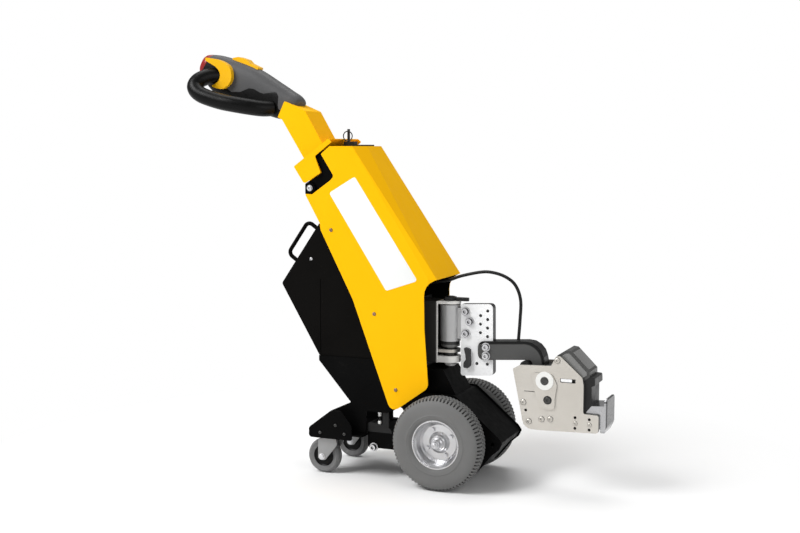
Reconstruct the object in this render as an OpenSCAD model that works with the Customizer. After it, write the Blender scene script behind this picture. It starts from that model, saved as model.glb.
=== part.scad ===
// Pedestrian battery tow tractor: two driven wheels, two swivel castors,
// a folding tiller and a swivelling gooseneck hitch with a coupling box.
// X points forward to the hitch, Y to the left, Z up; the floor is Z = 0.
// Places in X count from the drive axle.

/* [Wheels] */
// Drive tyre radius out to the tread
wheel_r = 130; // [124:1:134]
// Drive tyre width
wheel_w = 72; // [64:1:76]
// Distance between the two drive wheel centre planes
track = 272; // [262:1:300]
// Seat radius of the drive tyre on its rim
rim_r = 68; // [60:1:76]
// Axle radius
axle_r = 10; // [8:0.5:14]
// Hub radius of the drive wheels
hub_r = 22; // [18:1:30]
// Depth of the gaps between the shoulder lugs
lug_h = 5; // [3:0.5:7]
// Lugs around each shoulder
lugs = 46; // [30:1:46]

/* [Castors] */
// Castor wheel radius
castor_r = 50; // [46:1:52]
// Castor wheel width
castor_w = 30; // [24:1:32]
// Distance between the two swivel axes
castor_track = 191; // [180:1:210]
// Swivel axes behind the drive axle
castor_back = 340; // [330:1:345]
// Castor axle behind its swivel axis
castor_trail = 28; // [20:1:30]
// Radius of the swivel stem
stem_r = 6; // [5:0.5:8]

/* [Cover] */
// Width over the side panels
cover_w = 200; // [180:1:206]
// Sheet thickness of the cover
sheet = 2.5; // [2:0.5:3]
// Height of the flat top
cover_top = 941; // [938:1:944]
// Forward position of the front face at the top
cover_front = -255; // [-260:1:-250]
// Slope of the front face from the floor
cover_slope = 57.7; // [56.5:0.1:59]
// Width of each corner facet at the top
corner_top = 53; // [45:1:60]
// Width of each corner facet at the bottom
corner_low = 7; // [5:1:15]
// Run of the corner facets in X
corner_run = 22; // [16:1:28]

/* [Tiller] */
// Width of the neck box
neck_w = 100; // [90:1:108]
// Wall of the neck box
neck_wall = 3; // [2:0.5:5]
// Fold pivot in X
fold_x = -410; // [-412:1:-408]
// Fold pivot height
fold_z = 822; // [820:1:824]
// Radius of the fold pin
fold_r = 8; // [6:0.5:9]
// Lower end of the head's axis in X
head_x = -529; // [-531:1:-527]
// Lower end of the head's axis in Z
head_z = 1047.5; // [1046:0.5:1049]
// Rise of the head's axis towards the rear
head_tilt = 26; // [25:0.5:27]
// Half width of the head at its middle
head_half = 41; // [36:1:46]
// Radius of the loop grips
grip_r = 19; // [16:0.5:20]

/* [Hitch] */
// King pin in X
king_x = -18; // [-20:1:-16]
// Radius of the king pin
king_r = 12; // [10:0.5:14]
// Radius of the swivel hub
swivel_r = 29; // [27:0.5:30]
// Lower end of the swivel hub
swivel_low = 394; // [394:1:398]
// Upper end of the swivel hub
swivel_top = 497; // [494:1:498]
// Thickness of the adjuster plate
adjuster_t = 25; // [20:1:28]
// Width of the gooseneck arm
arm_w = 45; // [42:1:50]
// Width of the coupling box over its side plates
coupling_w = 104; // [96:1:110]
// Thickness of the coupling side plates
coupling_t = 10; // [8:0.5:14]

/* [Hidden] */
// Running fit on pins, per side
fit = 0.05;
// Axle position ahead of the middle of the part
axle_x = 192;
// Room between a drive tyre and the chassis plate beside it
wheel_gap = 10;
// Chassis side plates: outer half width, thickness, inner half width
plate_y = track / 2 - wheel_w / 2 - wheel_gap;
plate_t = 4;
bay_y = plate_y - plate_t;
// Outer end of the drive hubs from the wheel's centre plane
hub_out = 10;
// Inner half width of the cover
cover_in = cover_w / 2 - sheet;
// Segments on a rounded corner of an outline
corner_steps = 4;
$fn = 64;

// Node drawn alone, or all of them

function unit(v) = v / norm(v);

// Arc that rounds the corner b between a and c
function corner(a, b, c, r) =
  let (u = unit(a - b),
       v = unit(c - b),
       half = acos(u * v) / 2,
       turn = 180 - 2 * half,
       centre = b + unit(u + v) * r / sin(half),
       from = b + u * r / tan(half) - centre,
       to = b + v * r / tan(half) - centre)
  [for (k = [0 : corner_steps])
    centre + (sin(turn * (1 - k / corner_steps)) * from + sin(turn * k / corner_steps) * to) / sin(turn)];

// Closed outline from corners given as [x, z, radius]
function flat(p) = [p[0], p[1]];
function outline(p) =
  let (n = len(p))
  [for (i = [0 : n - 1])
    each p[i][2] == 0 ? [flat(p[i])]
      : corner(flat(p[(i + n - 1) % n]), flat(p[i]), flat(p[(i + 1) % n]), p[i][2])];

// Profile in X and Z drawn from y0 over a width towards +Y
module slab(y0, width)
  translate([0, y0 + width, 0])
    rotate([90, 0, 0])
      linear_extrude(width)
        children();

// The same profile on both sides, from y0 outward over a width
module pair(y0, width) {
  slab(y0, width) children();
  slab(-y0 - width, width) children();
}

// Cylinder along Y from y0 to y1 at a place in X and Z
module rod(at, y0, y1, r)
  translate([at[0], y1, at[1]])
    rotate([90, 0, 0])
      cylinder(h = y1 - y0, r = r);

// Body of revolution about Y with its profile's second coordinate along +Y
module turned()
  rotate([-90, 0, 0])
    rotate_extrude()
      children();

// Convex solid around a list of points
module hull_of(points)
  hull()
    polyhedron(points, [for (i = [0 : len(points) - 3]) [i, i + 1, i + 2]]);

// Skin over rings of points, with flat ends or joined end to end
module skin(rings, joined) {
  n = len(rings);
  sides = len(rings[0]);
  last = joined ? n - 1 : n - 2;
  walls = [for (i = [0 : last]) for (k = [0 : sides - 1])
    let (next = (i + 1) % n, side = (k + 1) % sides)
    [i * sides + k, next * sides + k, next * sides + side, i * sides + side]];
  start = [for (k = [0 : sides - 1]) k];
  end = [for (k = [sides - 1 : -1 : 0]) (n - 1) * sides + k];
  polyhedron([for (r = rings) each r], joined ? walls : concat([start], walls, [end]), convexity = 8);
}

// Smooth path through a list of points
function blend(a, b, c, d, t) =
  0.5 * (2 * b + (c - a) * t + (2 * a - 5 * b + 4 * c - d) * t * t
    + (3 * b - a - 3 * c + d) * t * t * t);
function smooth(p, steps) =
  let (n = len(p))
  concat([for (i = [0 : n - 2]) for (s = [0 : steps - 1])
    blend(p[max(i - 1, 0)], p[i], p[i + 1], p[min(i + 2, n - 1)], s / steps)], [p[n - 1]]);

// Round tube along a path of points
function heading(path, i) = unit(path[min(i + 1, len(path) - 1)] - path[max(i - 1, 0)]);
module tube(path, r, sides)
  skin([for (i = [0 : len(path) - 1])
    let (t = heading(path, i), a = unit(cross(t, [0.13, 0.2, 0.97])), b = cross(t, a))
    [for (k = [0 : sides - 1]) path[i] + r * (cos(360 * k / sides) * a + sin(360 * k / sides) * b)]], false);

// Rounded box section at x, with its half width, lower and upper edge
section_power = 0.7;
function bulge(v) = sign(v) * pow(abs(v), section_power);
function section(s, sides) =
  [for (k = [0 : sides - 1])
    [s[0], s[1] * bulge(cos(360 * k / sides)),
     (s[2] + s[3]) / 2 + (s[3] - s[2]) / 2 * bulge(sin(360 * k / sides))]];

// Chassis between the drive wheels: two side plates and a pan folded between them
chassis_side = outline([[-150, 255, 0], [30, 255, 20], [158, 147, 6], [168, 133, 6], [159, 115, 6], [138, 97, 6],
  [93, 42, 14], [-60, 42, 30], [-150, 84, 14], [-235, 84, 8], [-235, 130, 0], [-108, 130, 12], [-106, 168, 14],
  [-128, 206, 0], [-150, 216, 0]]);
pan_top = 255 - plate_t;
axle_at = [0, wheel_r];
nose_hole = [140, 129];
nose_hole_r = 5;
module chassis_plates()
  color([0.05, 0.05, 0.05])
    pair(bay_y, plate_t)
      difference() {
        polygon(chassis_side);
        translate(axle_at) circle(axle_r);
        translate(nose_hole) circle(nose_hole_r);
      }

module chassis_pan()
  color([0.04, 0.04, 0.04])
    slab(-bay_y, 2 * bay_y)
      difference() {
        offset(delta = -plate_t) polygon(chassis_side);
        offset(delta = -2 * plate_t) polygon(chassis_side);
      }

gearbox_r = 55;
motor_at = [-52, 165];
motor_r = 40;
motor_half = 60;
module drive_unit()
  color([0.25, 0.25, 0.26])
    difference() {
      union() {
        rod(axle_at, -bay_y, bay_y, gearbox_r);
        rod(motor_at, -motor_half, motor_half, motor_r);
      }
      rod(axle_at, -bay_y - 1, bay_y + 1, axle_r);
    }

// Motor housing on the rear tongue, hung from the tub by a bracket plate
case_in = 30;
case_side = outline([[-235, 130, 0], [-235, 158, 8], [-190, 153, 10], [-160, 141, 14], [-160, 130, 0]]);
case_bracket = [[-189, 150], [-189, 190], [-170, 191], [-170, 140]];
module motor_case()
  color([0.1, 0.1, 0.1]) {
    slab(-plate_y, plate_y - case_in) polygon(case_side);
    slab(-plate_y, plate_t)
      difference() {
        polygon(case_bracket);
        polygon(tub_side(tub_top));
      }
  }

axle_half = track / 2 + hub_out + 0.5;
nut_h = 6;
nut_r = axle_r + 6;
module axle()
  color([0.7, 0.7, 0.72]) {
    rod(axle_at, -axle_half, axle_half, axle_r);
    for (s = [-1, 1])
      translate([0, s > 0 ? axle_half + nut_h : -axle_half, wheel_r])
        rotate([90, 0, 0]) cylinder(h = nut_h, r = nut_r, $fn = 6);
  }

// Mast that carries the hitch inside the cover
mast_front = -92;
mast_d = 50;
mast_half = 45;
mast_top = 517;
module mast()
  color([0.06, 0.06, 0.06])
    translate([mast_front - mast_d, 0, pan_top])
      difference() {
        translate([0, -mast_half, 0]) cube([mast_d, 2 * mast_half, mast_top - pan_top]);
        translate([plate_t, plate_t - mast_half, plate_t])
          cube([mast_d - 2 * plate_t, 2 * (mast_half - plate_t), mast_top - pan_top - 2 * plate_t]);
      }

panel_half = 62;
panel_top = 318;
panel_side = [[mast_front, pan_top], [22, pan_top], [-16, panel_top], [mast_front, panel_top]];
module front_panel()
  color([0.05, 0.05, 0.05])
    difference() {
      slab(-panel_half, 2 * panel_half) polygon(panel_side);
      slab(plate_t - panel_half, 2 * (panel_half - plate_t))
        translate([-plate_t, -plate_t]) polygon(panel_side);
    }

// Hitch bracket: a channel on the mast with a leaf above and below the hub
bracket_half = 38;
bracket_web = 10;
bracket_top = 500;
bracket_leaf = 8;
bracket_low = 334;
bracket_foot = 18;
flange_front = -43;
flange_t = 4;
leaf_r = 30;
module leaf(z, t)
  translate([0, 0, z])
    linear_extrude(t)
      difference() {
        union() {
          translate([king_x, 0]) circle(leaf_r);
          translate([mast_front + bracket_web, -leaf_r]) square([king_x - mast_front - bracket_web, 2 * leaf_r]);
        }
        translate([king_x, 0]) circle(king_r);
      }
module hitch_bracket()
  color([0.55, 0.55, 0.56]) {
    translate([mast_front, -bracket_half, panel_top])
      cube([bracket_web, 2 * bracket_half, bracket_top + bracket_leaf - panel_top]);
    pair(bracket_half - flange_t, flange_t)
      translate([mast_front, bracket_low])
        square([flange_front - mast_front, bracket_top + bracket_leaf - bracket_low]);
    leaf(bracket_top, bracket_leaf);
    leaf(bracket_low, bracket_foot);
  }

// King pin with its nuts and the thrust stack under the hub
stack_low = bracket_low + bracket_foot;
stack_top = swivel_low - 0.5;
pin_nut_r = 20;
pin_nut_h = 10;
stack = [[king_r, stack_low], [21, stack_low], [21, stack_low + 14], [27, stack_low + 14], [27, stack_low + 20],
  [20, stack_low + 20], [20, stack_low + 27], [27, stack_low + 27], [27, stack_top], [king_r, stack_top]];
module king_pin()
  color([0.7, 0.7, 0.72])
    translate([king_x, 0, 0]) {
      translate([0, 0, bracket_low - 12])
        cylinder(h = bracket_top + bracket_leaf + pin_nut_h + 2 - bracket_low + 12, r = king_r);
      translate([0, 0, bracket_top + bracket_leaf]) cylinder(h = pin_nut_h, r = pin_nut_r, $fn = 6);
      translate([0, 0, bracket_low - 9]) cylinder(h = 9, r = pin_nut_r - 2, $fn = 6);
      rotate_extrude() polygon(stack);
    }

lever_end = 37;
lever_half = 9;
lever_t = 9;
module lock_lever()
  color([0.12, 0.12, 0.12])
    translate([0, 0, bracket_top + bracket_leaf])
      linear_extrude(lever_t)
        difference() {
          polygon(outline([[king_x, -lever_half, 0], [lever_end, -lever_half, 7], [lever_end, lever_half, 7],
            [king_x, lever_half, 0]]));
          translate([king_x, 0]) circle(pin_nut_r);
        }

// Folded cover: side panels, a sloped front and a tapered facet at each corner
function front_x(z) = cover_front - (z - cover_top) / tan(cover_slope);
cut_z = 576;
spare = 4;
cover_side = outline([[-347, cover_top, 0], [front_x(cover_top) + spare, cover_top, 0],
  [front_x(cut_z) + spare, cut_z, 0], [-60, 560, 45], [-58, 435, 60], [-46, 272, 22], [-158, 191, 20],
  [-277, 510, 150], [-377, 703, 0], [-380, 723, 0], [-427, 806, 3], [-404, 804, 6], [-345, 845, 8],
  [-335, 857, 8], [-375, 919, 4]]);
cover_back = -700;
cover_foot = 150;
module cover_form(inset) {
  half = cover_w / 2 - inset;
  top_z = inset > 0 ? cover_top - inset : cover_top + spare;
  lean = inset / sin(cover_slope);
  hull_of([for (s = [-1, 1])
    each [[front_x(top_z) - lean, s * (half - corner_top), top_z],
      [front_x(top_z) - lean - corner_run, s * half, top_z],
      [front_x(cut_z) - lean, s * (half - corner_low), cut_z],
      [front_x(cut_z) - lean - corner_run, s * half, cut_z],
      [front_x(cut_z) - lean, s * (half - corner_low), cover_foot],
      [front_x(cut_z) - lean - corner_run, s * half, cover_foot],
      [cover_back, s * half, top_z],
      [cover_back, s * half, cover_foot]]]);
}
module body_cover()
  color([0.98, 0.76, 0.05])
    difference() {
      intersection() {
        slab(-cover_w / 2, cover_w) polygon(cover_side);
        cover_form(0);
      }
      cover_form(sheet);
    }

// Lower rear tub under the battery
tub_wall = 3;
tub_top = 341;
tub_corners = [[-386, 327, 4], [-285, 212, 10], [-235, 190, 6], [-172, 190, 6], [-150, 200, 0]];
function tub_side(top) = outline(concat([[-386, top, 0]], tub_corners, [[-150, top, 0]]));
module lower_tub()
  color([0.05, 0.05, 0.05])
    difference() {
      slab(-cover_in, 2 * cover_in) polygon(tub_side(tub_top));
      slab(tub_wall - cover_in, 2 * (cover_in - tub_wall))
        offset(delta = -tub_wall) polygon(tub_side(tub_top + 2 * tub_wall));
    }

// Battery pack with a parting groove down each side and a D handle on its rear slope
battery_gap = 3.5;
battery_half = cover_in - battery_gap;
battery_peak = [-385, 721];
battery_rear = [-507, 545];
battery_side = outline([[battery_peak[0], battery_peak[1], 3], [battery_rear[0], battery_rear[1], 9],
  [-386, tub_top, 4], [-156, tub_top, 0], [-280, battery_peak[1], 0]]);
groove_x = -383;
groove_w = 2;
groove_top = 560;
module battery_pack()
  color([0.06, 0.06, 0.06])
    difference() {
      slab(-battery_half, 2 * battery_half) polygon(battery_side);
      pair(battery_half - groove_w, 2 * groove_w)
        translate([groove_x, tub_top + groove_w]) square([groove_w, groove_top - tub_top]);
    }

handle_r = 6;
handle_out = 68;
handle_half = 59;
handle_bend = 16;
handle_at = (battery_peak + battery_rear) / 2;
battery_lean = atan2(battery_peak[1] - battery_rear[1], battery_peak[0] - battery_rear[0]);
module battery_handle()
  color([0.05, 0.05, 0.05])
    translate([handle_at[0], 0, handle_at[1]])
      rotate([0, 90 - battery_lean, 0]) {
        for (s = [-1, 1]) {
          translate([0, 0, s * handle_half])
            rotate([0, -90, 0]) cylinder(h = handle_out - handle_bend, r = handle_r, $fn = 24);
          translate([handle_bend - handle_out, 0, s * (handle_half - handle_bend)])
            rotate([90, 0, 0])
              rotate_extrude(angle = 90, start = s > 0 ? 90 : 180)
                translate([handle_bend, 0]) circle(handle_r, $fn = 24);
        }
        translate([-handle_out, 0, handle_bend - handle_half])
          cylinder(h = 2 * (handle_half - handle_bend), r = handle_r, $fn = 24);
      }

// Castor cradle: a tray with deep side walls and gussets up to the tub
head_plate_t = 4;
head_half_x = 42;
head_half_y = 28;
cradle_gap = 2;
cradle_t = 4;
cradle_z = 120;
cradle_half = castor_track / 2 + head_half_y + cradle_gap + cradle_t;
cradle_front = -235;
cradle_wall = outline([[-404, 107, 9], [-404, 136, 14], [-333, 190, 6], [-300, 190, 10], [-268, 150, 20],
  [-268, 107, 6]]);
gusset = [[-372, cradle_z + cradle_t], [-349, 182], [-285, 212], [-237, 192], [-237, cradle_z + cradle_t]];
module castor_cradle()
  color([0.05, 0.05, 0.05])
    difference() {
      union() {
        translate([-404, -cradle_half, cradle_z])
          cube([cradle_front + 404, 2 * cradle_half, cradle_t]);
        pair(cradle_half - cradle_t, cradle_t) polygon(cradle_wall);
        difference() {
          pair(cover_in - cradle_t, cradle_t) polygon(gusset);
          slab(-cover_w, 2 * cover_w) polygon(tub_side(tub_top));
        }
      }
      for (s = [-1, 1])
        translate([-castor_back, s * castor_track / 2, cradle_z - 1]) cylinder(h = cradle_t + 2, r = stem_r + 3);
    }

bearing_h = 6;
bearing_r = 24;
module castor_heads()
  color([0.68, 0.68, 0.7])
    for (s = [-1, 1])
      translate([-castor_back, s * castor_track / 2, cradle_z - head_plate_t])
        difference() {
          union() {
            linear_extrude(head_plate_t)
              polygon(outline([[-head_half_x, -head_half_y, 8], [head_half_x, -head_half_y, 8],
                [head_half_x, head_half_y, 8], [-head_half_x, head_half_y, 8]]));
            translate([0, 0, -bearing_h]) cylinder(h = bearing_h, r = bearing_r);
          }
          translate([0, 0, -bearing_h - 1]) cylinder(h = bearing_h + head_plate_t + 2, r = stem_r + fit);
        }

// Lock on top of the cover: plate, knob block and pull pin with its ring
latch_x = -345;
latch_t = 4;
latch_block_h = 9;
module latch_plate()
  color([0.06, 0.06, 0.06]) {
    translate([latch_x, -20, cover_top]) cube([82, 40, latch_t]);
    translate([latch_x, -12, cover_top + latch_t]) cube([32, 24, latch_block_h]);
  }

pull_x = -335;
pull_r = 4;
pull_h = 36;
ring_r = 14;
ring_wire = 1.5;
module pull_pin()
  color([0.75, 0.75, 0.77])
    translate([pull_x, 0, cover_top + latch_t + latch_block_h]) {
      cylinder(h = pull_h, r = pull_r, $fn = 24);
      translate([0, -pull_r - ring_wire - 0.3, ring_r + ring_wire + 0.3])
        rotate([90, 0, 0])
          rotate_extrude($fn = 32)
            translate([ring_r, 0]) circle(ring_wire, $fn = 16);
    }

// Fold pivot: the pin and the plates seen through the slots
fold_at = [fold_x, fold_z];
slot_gap = 9.5;
slot_in = cover_in - slot_gap;
slot_t = 3;
boss_r = 15;
slot_side = outline([[-430, 802, 6], [-398, 802, 6], [-329, 848, 6], [-329, 868, 6], [-366, 930, 4], [-402, 922, 4],
  [-376, 866, 0], [-430, 834, 6]]);
slot_seat = [[-346, 841], [-329, 848], [-329, 866], [-336, 862]];
module fold_pin()
  color([0.75, 0.75, 0.77])
    rod(fold_at, -cover_w / 2 - 2, cover_w / 2 + 2, fold_r);

module slot_plates()
  color([0.03, 0.03, 0.03])
    difference() {
      union() {
        pair(slot_in, slot_t) polygon(slot_side);
        pair(slot_in, cover_w / 2 - slot_in) translate(fold_at) circle(boss_r);
        pair(slot_in + slot_t, slot_gap - slot_t) polygon(slot_seat);
      }
      rod(fold_at, -cover_w, cover_w, fold_r);
    }

// Cable from the mast over to the arm
cable_r = 4.5;
cable_points = [[-112, 0, mast_top], [-108, 0, 534], [-97.5, 0, 547], [-82, 0, 554.5], [-50, 0, 560],
  [-20, 0, 566], [13, 0, 578], [69, 0, 591], [104, 0, 592], [142, 0, 582], [172, 0, 560], [188, 0, 519],
  [187, 0, 463], [183, 0, 407.8]];
module cable()
  color([0.03, 0.03, 0.03])
    tube(smooth(cable_points, 3), cable_r, 10);

// Tiller neck: a bent box on the fold pin, with a shoulder cap over the cover's cheeks
neck_side = outline([[-518, 1070, 0], [-450, 1042, 6], [-366, 900, 0], [-372, 862, 10], [-398, 808, 10],
  [-422, 808, 12], [-434, 830, 10], [-456, 907, 0], [-526, 1018, 6], [-540, 1025, 0]]);
neck_bottom = [[-440, 780], [-380, 780], [-395, 850], [-446, 850]];
module neck()
  color([0.98, 0.76, 0.05])
    difference() {
      slab(-neck_w / 2, neck_w) polygon(neck_side);
      slab(neck_wall - neck_w / 2, neck_w - 2 * neck_wall) {
        offset(delta = -neck_wall) polygon(neck_side);
        polygon(neck_bottom);
      }
      rod(fold_at, -neck_w, neck_w, fold_r + fit);
    }

shoulder_rear = [-462, 883];
shoulder_front = [-352, 962];
shoulder_side = outline([[shoulder_rear[0], shoulder_rear[1], 3], [shoulder_front[0], shoulder_front[1], 3],
  [-341, 953, 3], [-394, 913, 4], [-376, 866, 3], [-429, 834, 8]]);
shoulder_lid = [shoulder_rear, shoulder_front, shoulder_front + [1.5, -2], shoulder_rear + [1.5, -2]];
module shoulder()
  color([0.98, 0.76, 0.05])
    difference() {
      union() {
        pair(cover_in, sheet) polygon(shoulder_side);
        slab(-cover_in, 2 * cover_in) polygon(shoulder_lid);
      }
      slab(-neck_w / 2, neck_w) polygon(neck_side);
    }

// Tiller head in its own frame: X along the head to the rear, Z across its top
module head_frame()
  translate([head_x, 0, head_z])
    rotate([0, -head_tilt, 180])
      children();
head_len = 311;
head_sections = [[-31, 26, 20, 41], [-24, 34, -4, 47], [-10, 38, -26, 52], [12, 39, -36, 54], [62, 40, -46, 59],
  [141, head_half, -60, 65], [226, head_half, -56, 57], [272, 40, -42, 49], [299, 37, -34, 40],
  [head_len, 33, -29, 34]];
// Parting line between the dark base and the grey cover
head_split = outline([[-60, -90, 0], [-60, -10, 0], [16, -6, 0], [20, 4, 3], [32, 30, 5], [44, 35, 6], [82, 13, 8],
  [112, 13, 8], [128, 8, 6], [150, -14, 6], [178, -28, 6], [206, -22, 8], [214, 4, 8], [238, 24, 8], [340, 26, 0],
  [340, -90, 0]]);
// Red end that caps the head
head_end = [[296, 60], [340, 60], [340, -60], [303, -60], [300, -20], [294, 20]];
loop_points = [[236, -28, -2], [259, -56, -17], [270, -83, -40], [262, -99, -62], [230, -105, -72],
  [171, -102, -63], [124, -95, -49], [82, -79, -35], [54, -57, -24], [38, -34, -14]];
module head_form()
  skin([for (s = head_sections) section(s, 28)], false);
module loops()
  for (s = [0, 1])
    mirror([0, s, 0]) tube(smooth(loop_points, 2), grip_r, 16);
module neck_room()
  slab(-neck_w, 2 * neck_w) polygon(neck_side);

module head_base()
  color([0.06, 0.06, 0.06])
    difference() {
      head_frame() {
        intersection() {
          head_form();
          slab(-head_len, 2 * head_len)
            difference() {
              polygon(head_split);
              polygon(head_end);
            }
        }
        loops();
      }
      neck_room();
    }

module head_cover()
  color([0.35, 0.35, 0.37])
    difference() {
      head_frame()
        difference() {
          head_form();
          slab(-head_len, 2 * head_len) {
            polygon(head_split);
            polygon(head_end);
          }
          loops();
        }
      neck_room();
    }

wing_t = 20;
wing_side = outline([[294, 30, 2], [248, 44, 110], [204, 42, 40], [180, 4, 34], [200, -32, 36], [243, -40, 3],
  [222, -16, 24], [226, 10, 22], [248, 20, 44], [290, 22, 2]]);
module thumb_wings()
  color([0.98, 0.72, 0.05])
    head_frame()
      difference() {
        pair(head_half - 6, wing_t) polygon(wing_side);
        head_form();
        loops();
      }

button_half = 26;
button_t = 6;
module end_button()
  color([0.75, 0.06, 0.04])
    head_frame() {
      intersection() {
        head_form();
        slab(-head_len, 2 * head_len) polygon(head_end);
      }
      translate([head_len, 0, 0])
        rotate([90, 0, 90])
          linear_extrude(button_t)
            polygon(outline([[-button_half, -26, 10], [button_half, -26, 10], [button_half, 29, 10],
              [-button_half, 29, 10]]));
    }

rocker_half = 15;
rocker_side = outline([[140, 50, 0], [226, 42, 0], [231, 60, 4], [214, 71, 6], [186, 75, 6], [172, 70, 6],
  [138, 71, 3]]);
module rocker()
  color([0.98, 0.72, 0.05])
    head_frame()
      difference() {
        slab(-rocker_half, 2 * rocker_half) polygon(rocker_side);
        head_form();
      }

// Hitch that swings on the king pin
hub_reach = 36;
adjuster_back = king_x + hub_reach;
module swivel_hub()
  color([0.6, 0.6, 0.6])
    difference() {
      union() {
        translate([king_x, 0, swivel_low]) cylinder(h = swivel_top - swivel_low, r = swivel_r);
        translate([king_x, -adjuster_t / 2, swivel_low + 8])
          cube([hub_reach, adjuster_t, swivel_top - swivel_low - 16]);
      }
      translate([king_x, 0, swivel_low - 1])
        cylinder(h = swivel_top - swivel_low + 2, r = king_r + fit);
    }

adjuster_side = outline([[adjuster_back, 297, 8], [114, 304, 10], [112, 505, 12], [adjuster_back, 500, 4]]);
adjuster_hole_r = 4.5;
hole_pitch = 24;
hole_columns = [[76, 423, 3], [97, 413, 4]];
low_holes = [[97, 335], [66, 335]];
adjuster_holes = concat([for (c = hole_columns) for (k = [0 : c[2] - 1]) [c[0], c[1] + k * hole_pitch]], low_holes);
module adjuster_plate()
  color([0.82, 0.82, 0.83])
    difference() {
      slab(-adjuster_t / 2, adjuster_t) polygon(adjuster_side);
      for (p = adjuster_holes)
        rod(p, -adjuster_t, adjuster_t, adjuster_hole_r);
    }

// Gooseneck arm with a fork end over the adjuster plate
arm_side = outline([[72, 347, 16], [72, 399, 16], [254, 411, 50], [268, 334, 0], [230, 334, 0], [231, 358, 10]]);
fork_slot = [[60, 320], [115, 320], [115, 430], [60, 430]];
module hitch_arm()
  color([0.05, 0.05, 0.05])
    difference() {
      slab(-arm_w / 2, arm_w) polygon(arm_side);
      slab(-adjuster_t / 2, adjuster_t) polygon(fork_slot);
    }

// Coupling box: two side plates on a core, a cam plate and a roller through both
coupling_half = coupling_w / 2;
coupling_in = coupling_half - coupling_t;
coupling_side = outline([[184, 336, 4], [206, 348, 4], [292, 351, 4], [305, 378, 4], [317, 379, 5], [378, 325, 4],
  [382, 305, 4], [382, 227, 5], [424, 226, 5], [424, 177, 8], [264, 172, 0], [217, 173, 26]]);
core_side = outline([[236, 343, 0], [296, 346, 0], [306, 335, 0], [366, 305, 0], [402, 301, 0], [402, 248, 0],
  [382, 223, 0], [382, 196, 0], [246, 196, 8], [228, 220, 8]]);
roller_at = [275, 309];
roller_r = 25;
roller_out = 1;
pivot_at = [284, 257];
pivot_r = 12;
arm_pin_at = [214, 344];
arm_pin_r = 13;
cam_t = 3;
cam_side = outline([[236, 331, 14], [296, 328, 12], [310, 300, 16], [304, 262, 10], [304, 231, 12], [268, 231, 14],
  [250, 267, 20]]);
plate_hole_r = 4;
plate_holes = [[360, 215], [360, 186], [399, 213], [399, 185], [222, 224]];
slot_from = [318, 308];
slot_size = [42, 11];
module coupling_plates()
  color([0.75, 0.73, 0.68])
    difference() {
      pair(coupling_in, coupling_t)
        difference() {
          polygon(coupling_side);
          translate(roller_at) circle(roller_r);
          translate(slot_from) square(slot_size);
        }
      for (p = plate_holes)
        rod(p, -coupling_w, coupling_w, plate_hole_r);
    }

module coupling_core()
  color([0.15, 0.15, 0.15]) {
    slab(-coupling_in, 2 * coupling_in)
      difference() {
        polygon(core_side);
        polygon(arm_side);
        translate(roller_at) circle(roller_r);
      }
    difference() {
      rod(arm_pin_at, -coupling_in, coupling_in, arm_pin_r);
      slab(-arm_w, 2 * arm_w) polygon(arm_side);
    }
  }

module coupling_cams()
  color([0.78, 0.76, 0.71])
    pair(coupling_half, cam_t)
      difference() {
        polygon(cam_side);
        translate(roller_at) circle(roller_r);
        translate(pivot_at) circle(pivot_r);
      }

module coupling_roller()
  color([0.9, 0.9, 0.88])
    rod(roller_at, -coupling_half - cam_t - roller_out, coupling_half + cam_t + roller_out, roller_r);

jaw_front = 445;
jaw_low = 174;
jaw_top = 270;
jaw_round = 12;
jaw_side = outline([[402, 248, 0], [436, 250, 2], [437, 268, 2], [jaw_front, jaw_top, 3], [jaw_front, 196, 10],
  [436, jaw_low, 3], [426, jaw_low, 0], [426, 186, 0], [414, 196, 0], [382, 196, 0], [382, 223, 0]]);
module coupling_jaw()
  color([0.8, 0.79, 0.76])
    intersection() {
      slab(-coupling_in, 2 * coupling_in) polygon(jaw_side);
      rotate([90, 0, 90])
        linear_extrude(jaw_front + 1)
          polygon(outline([[-coupling_in, jaw_low, jaw_round], [coupling_in, jaw_low, jaw_round],
            [coupling_in, jaw_top, jaw_round], [-coupling_in, jaw_top, jaw_round]]));
    }

actuator_side = outline([[306, 335, 0], [306, 379, 3], [330, 395, 4], [343, 393, 4], [396, 340, 4], [396, 326, 0],
  [366, 305, 0]]);
module actuator_cover()
  color([0.45, 0.45, 0.46])
    slab(-coupling_in, 2 * coupling_in) polygon(actuator_side);

latch_side = outline([[402, 301, 0], [366, 305, 0], [396, 326, 0], [410, 325, 4], [411, 303, 4]]);
module coupling_latch()
  color([0.12, 0.12, 0.12])
    slab(-coupling_in, 2 * coupling_in) polygon(latch_side);

hook_t = 12;
hook_side = outline([[30, 380, 3], [48, 376, 4], [50, 330, 6], [44, 322, 4], [30, 322, 4], [30, 336, 3], [37, 346, 3],
  [35, 362, 3]]);
module swivel_hook()
  color([0.1, 0.1, 0.1])
    slab(-adjuster_t / 2 - hook_t, hook_t) polygon(hook_side);

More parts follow.
